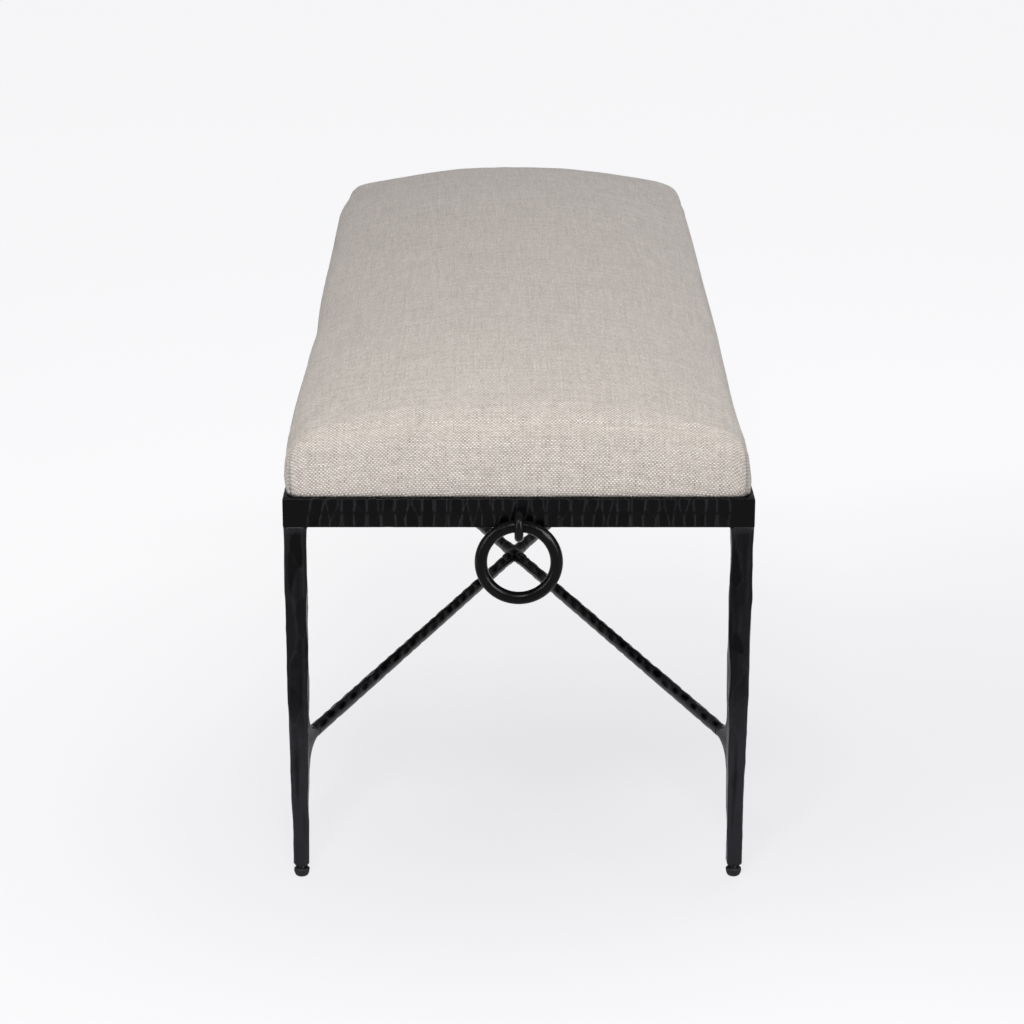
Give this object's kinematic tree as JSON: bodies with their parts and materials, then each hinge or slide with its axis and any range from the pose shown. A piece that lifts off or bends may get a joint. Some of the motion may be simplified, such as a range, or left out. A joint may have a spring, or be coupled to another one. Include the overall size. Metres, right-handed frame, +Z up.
{
  "type": "entryway bench",
  "caption": "Long upholstered bench: crowned linen seat on a hammered black iron frame with tapered legs, a flat X-stretcher, a hanging ring at each end and levelling feet.",
  "frame": {"origin": "on the floor, under the middle of the seat", "axes": "+Z up, +Y along the bench's length, +X across it"},
  "size_m": [0.457, 1.2672, 0.495],
  "materials": {
    "forged_iron": "satin black, hammered",
    "linen": "plain-weave linen with slubs",
    "foam": "open-cell foam",
    "plywood": "raw plywood",
    "cambric": "black non-woven dust cover",
    "zinc_steel": "zinc plated",
    "foot_plastic": "moulded black plastic"
  },
  "bodies": {
    "frame": {"end_apron_front": "forged_iron", "end_apron_back": "forged_iron", "side_apron_left": "forged_iron", "side_apron_right": "forged_iron", "leg_front_left": "forged_iron", "leg_front_right": "forged_iron", "leg_back_left": "forged_iron", "leg_back_right": "forged_iron", "corner_welds": "forged_iron", "stretcher_through_bar": "forged_iron", "stretcher_half_bar_front": "forged_iron", "stretcher_half_bar_back": "forged_iron", "stretcher_hub_welds": "forged_iron", "knuckle_front_left": "forged_iron", "knuckle_front_right": "forged_iron", "knuckle_back_left": "forged_iron", "knuckle_back_right": "forged_iron", "seat_slat_front": "forged_iron", "seat_slat_middle": "forged_iron", "seat_slat_back": "forged_iron", "seat_screws": "zinc_steel", "seat_deck": "plywood", "seat_foam": "foam", "seat_cover": "linen", "dust_cover": "cambric", "dust_cover_staples": "zinc_steel", "leg_insert_front_left": "zinc_steel", "leg_insert_front_right": "zinc_steel", "leg_insert_back_left": "zinc_steel", "leg_insert_back_right": "zinc_steel", "ring_staple_front": "forged_iron", "ring_staple_back": "forged_iron"},
    "foot_front_left": {"foot_pad_front_left": "foot_plastic", "foot_stud_front_left": "zinc_steel"},
    "foot_front_right": {"foot_pad_front_right": "foot_plastic", "foot_stud_front_right": "zinc_steel"},
    "foot_back_left": {"foot_pad_back_left": "foot_plastic", "foot_stud_back_left": "zinc_steel"},
    "foot_back_right": {"foot_pad_back_right": "foot_plastic", "foot_stud_back_right": "zinc_steel"},
    "ring_front": {"ring_front": "forged_iron"},
    "ring_back": {"ring_back": "forged_iron"}
  },
  "joints": [
    {"name": "foot_front_left_screw", "type": "slide", "parent": "frame", "child": "foot_front_left", "axis": [0, 0, -1], "range_m": [-0.003, 0.01]},
    {"name": "foot_front_right_screw", "type": "slide", "parent": "frame", "child": "foot_front_right", "axis": [0, 0, -1], "range_m": [-0.003, 0.01]},
    {"name": "foot_back_left_screw", "type": "slide", "parent": "frame", "child": "foot_back_left", "axis": [0, 0, -1], "range_m": [-0.003, 0.01]},
    {"name": "foot_back_right_screw", "type": "slide", "parent": "frame", "child": "foot_back_right", "axis": [0, 0, -1], "range_m": [-0.003, 0.01]},
    {"name": "ring_front_swing", "type": "hinge", "parent": "frame", "child": "ring_front", "pos_m": [0, -0.618, 0.3758], "axis": [-1, 0, 0], "range_deg": [-18, 178]},
    {"name": "ring_back_swing", "type": "hinge", "parent": "frame", "child": "ring_back", "pos_m": [0, 0.618, 0.3758], "axis": [1, 0, 0], "range_deg": [-18, 178]}
  ]
}
